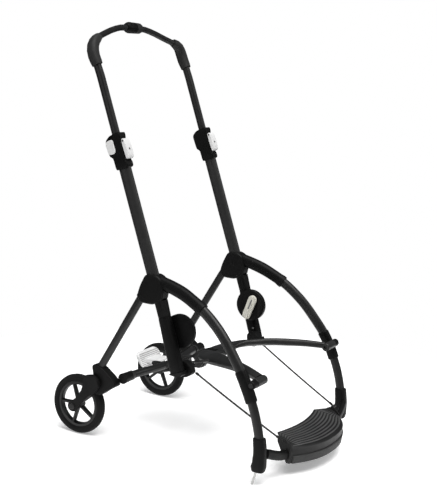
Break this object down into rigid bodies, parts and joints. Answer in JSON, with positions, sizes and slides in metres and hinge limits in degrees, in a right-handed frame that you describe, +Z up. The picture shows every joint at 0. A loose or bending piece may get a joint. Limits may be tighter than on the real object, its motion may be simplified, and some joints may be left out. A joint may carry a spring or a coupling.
{
  "type": "stroller frame",
  "caption": "Folding pushchair frame with arched side legs, a telescoping handlebar, foam rear wheels, a braked rear axle, a folding centre yoke and a curved footrest.",
  "frame": {"origin": "centre of the footprint, on the floor", "axes": "+Z up, the stroller faces -Y, +X is its left side"},
  "size_m": [0.5138, 0.7298, 1.0795],
  "materials": {
    "charcoal_tube": "satin charcoal powder coat",
    "dark_plastic": "fine-grained moulded plastic",
    "grip_foam": "matt foam",
    "white_plastic": "smooth moulded plastic",
    "foam_tyre": "matt foam rubber",
    "rim_plastic": "moulded plastic",
    "bare_steel": "bare turned steel",
    "black_steel": "blackened steel",
    "brace_wire_black": "black coated wire",
    "bumper_grey": "matt soft strip",
    "insert_grey": "moulded plastic"
  },
  "bodies": {
    "front_frame": {"leg_upper_r": "charcoal_tube", "leg_upper_l": "charcoal_tube", "leg_lower_r": "charcoal_tube", "leg_lower_l": "charcoal_tube", "upright_r": "charcoal_tube", "upright_l": "charcoal_tube", "leg_sleeve_r": "dark_plastic", "leg_sleeve_l": "dark_plastic", "wheel_mount_r": "dark_plastic", "wheel_mount_l": "dark_plastic", "hub_r": "dark_plastic", "hub_l": "dark_plastic", "post_r": "dark_plastic", "post_l": "dark_plastic", "post_foot_r": "dark_plastic", "post_foot_l": "dark_plastic", "seat_disc_r": "dark_plastic", "seat_disc_l": "dark_plastic", "clamp_r": "dark_plastic", "clamp_l": "dark_plastic", "front_crossbar": "dark_plastic", "footrest": "dark_plastic", "castor_pin_r": "bare_steel", "castor_pin_l": "bare_steel", "pivot_pin_r": "black_steel", "pivot_pin_l": "black_steel", "clamp_pin_r": "black_steel", "clamp_pin_l": "black_steel", "brace_wire_r": "brace_wire_black", "brace_wire_l": "brace_wire_black", "footrest_bumper": "bumper_grey"},
    "handlebar": {"handle_tube_r": "charcoal_tube", "handle_tube_l": "charcoal_tube", "grip_r": "grip_foam", "grip_l": "grip_foam", "handle_hub": "dark_plastic", "hub_insert": "insert_grey"},
    "clamp_lever_r": {"clamp_lever_r": "white_plastic"},
    "clamp_lever_l": {"clamp_lever_l": "white_plastic"},
    "fold_trigger_r": {"fold_trigger_r": "white_plastic"},
    "fold_trigger_l": {"fold_trigger_l": "white_plastic"},
    "seat_lock_r": {"seat_lock_r": "white_plastic"},
    "seat_lock_l": {"seat_lock_l": "white_plastic"},
    "rear_legs": {"rear_strut_r": "charcoal_tube", "rear_strut_l": "charcoal_tube", "rear_bracket_r": "dark_plastic", "rear_bracket_l": "dark_plastic", "wheel_arm_r": "dark_plastic", "wheel_arm_l": "dark_plastic", "axle_bolt_r": "black_steel", "axle_bolt_l": "black_steel"},
    "wheel_r": {"tyre_r": "foam_tyre", "rim_r": "rim_plastic"},
    "wheel_l": {"tyre_l": "foam_tyre", "rim_l": "rim_plastic"},
    "rear_yoke": {"rear_axle": "charcoal_tube"},
    "brake_pedal": {"brake_pedal": "white_plastic"},
    "front_yoke": {"cross_frame": "charcoal_tube", "knee_pin": "black_steel"}
  },
  "joints": [
    {"name": "handlebar_slide", "type": "slide", "parent": "front_frame", "child": "handlebar", "axis": [0, 0.3418, 0.9398], "range_m": [-0.11, 0]},
    {"name": "clamp_lever_flip_r", "type": "hinge", "parent": "front_frame", "child": "clamp_lever_r", "pos_m": [-0.211, 0.15534, 0.78544], "axis": [1, 0, 0], "range_deg": [-60, 0]},
    {"name": "fold_trigger_slide_r", "type": "slide", "parent": "front_frame", "child": "fold_trigger_r", "axis": [0, 0.3418, 0.9398], "range_m": [0, 0.005], "stiffness_N_per_m": 150},
    {"name": "seat_lock_turn_r", "type": "hinge", "parent": "front_frame", "child": "seat_lock_r", "pos_m": [-0.1782, -0.01106, 0.324], "axis": [1, 0, 0], "range_deg": [0, 30]},
    {"name": "clamp_lever_flip_l", "type": "hinge", "parent": "front_frame", "child": "clamp_lever_l", "pos_m": [0.211, 0.15534, 0.78544], "axis": [1, 0, 0], "range_deg": [-60, 0]},
    {"name": "fold_trigger_slide_l", "type": "slide", "parent": "front_frame", "child": "fold_trigger_l", "axis": [0, 0.3418, 0.9398], "range_m": [0, 0.005], "stiffness_N_per_m": 150},
    {"name": "seat_lock_turn_l", "type": "hinge", "parent": "front_frame", "child": "seat_lock_l", "pos_m": [0.1782, -0.01106, 0.324], "axis": [1, 0, 0], "range_deg": [0, 30]},
    {"name": "rear_legs_fold", "type": "hinge", "parent": "front_frame", "child": "rear_legs", "pos_m": [0, 0.08994, 0.4062], "axis": [1, 0, 0], "range_deg": [-32, 0]},
    {"name": "rear_yoke_fold", "type": "hinge", "parent": "rear_legs", "child": "rear_yoke", "pos_m": [0, 0.15094, 0.172], "axis": [1, 0, 0], "range_deg": [-57, 0]},
    {"name": "front_yoke_fold", "type": "hinge", "parent": "front_frame", "child": "front_yoke", "pos_m": [0, -0.24605, 0.243], "axis": [1, 0, 0], "range_deg": [0, 21.1]},
    {"name": "brake_pedal_press", "type": "hinge", "parent": "rear_yoke", "child": "brake_pedal", "pos_m": [0, 0.16095, 0.176], "axis": [1, 0, 0], "range_deg": [-12, 0]},
    {"name": "wheel_spin_r", "type": "hinge", "parent": "rear_legs", "child": "wheel_r", "pos_m": [-0.2, 0.28495, 0.08], "axis": [1, 0, 0], "continuous": true},
    {"name": "wheel_spin_l", "type": "hinge", "parent": "rear_legs", "child": "wheel_l", "pos_m": [0.2, 0.28495, 0.08], "axis": [1, 0, 0], "continuous": true}
  ],
  "couplings": [
    {"joint": "rear_yoke_fold", "follows": "rear_legs_fold", "ratio": 1.7796},
    {"joint": "front_yoke_fold", "follows": "rear_legs_fold", "ratio": -0.65669}
  ]
}
